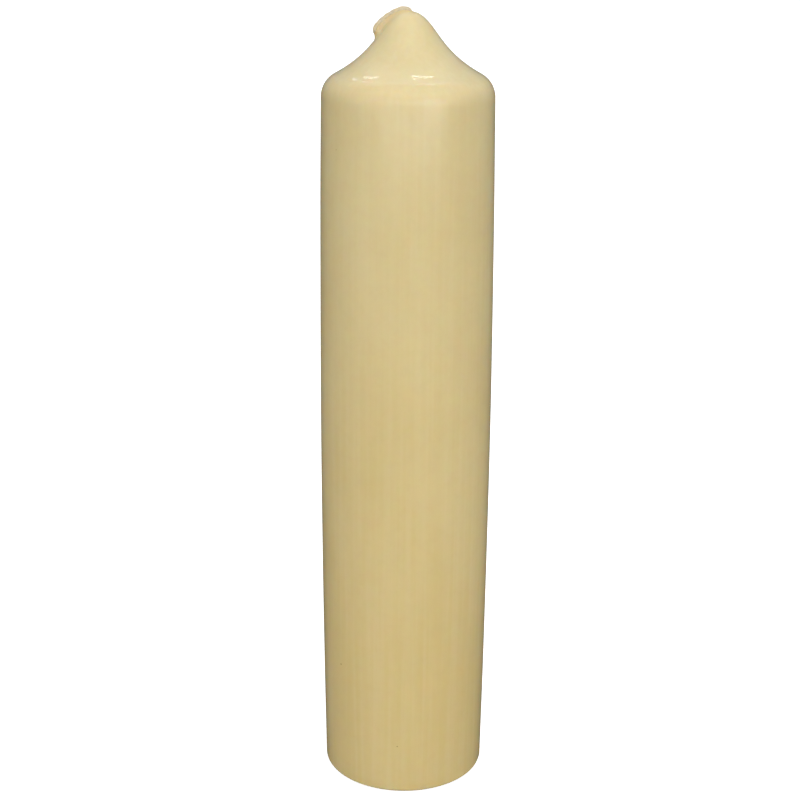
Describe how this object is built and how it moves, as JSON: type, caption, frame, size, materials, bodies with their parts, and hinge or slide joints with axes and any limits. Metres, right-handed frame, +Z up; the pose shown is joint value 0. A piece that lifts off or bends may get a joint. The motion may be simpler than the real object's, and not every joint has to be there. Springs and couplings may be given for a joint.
{
  "type": "unity candle",
  "caption": "Tall wax pillar candle with a dipped skin, an ogee shoulder, a rounded tip and a cotton wick folded over it that lifts upright for lighting.",
  "frame": {"origin": "centre of the flat base", "axes": "+Z up along the candle, the exposed wick folded down towards -X"},
  "size_m": [0.05, 0.05, 0.23],
  "materials": {
    "skin_wax": "gloss",
    "core_wax": "satin",
    "wick_cotton": "matte",
    "tinned_steel": "satin"
  },
  "bodies": {
    "candle": {"dipped_shell": "skin_wax", "wax_core": "core_wax", "wick": "wick_cotton", "wick_sustainer": "tinned_steel"},
    "wick_base_link": {"wick_bend": "wick_cotton"},
    "wick_end_link": {"wick_tip": "wick_cotton"}
  },
  "joints": [
    {"name": "wick_lift", "type": "hinge", "parent": "candle", "child": "wick_base_link", "pos_m": [-0.00055, 0, 0.2288], "axis": [0, 1, 0], "range_deg": [0, 105]},
    {"name": "wick_uncurl", "type": "hinge", "parent": "wick_base_link", "child": "wick_end_link", "pos_m": [-0.00515, 0, 0.22732], "axis": [0, 1, 0], "range_deg": [0, 34]}
  ],
  "couplings": [
    {"joint": "wick_uncurl", "follows": "wick_lift", "ratio": 0.32}
  ]
}
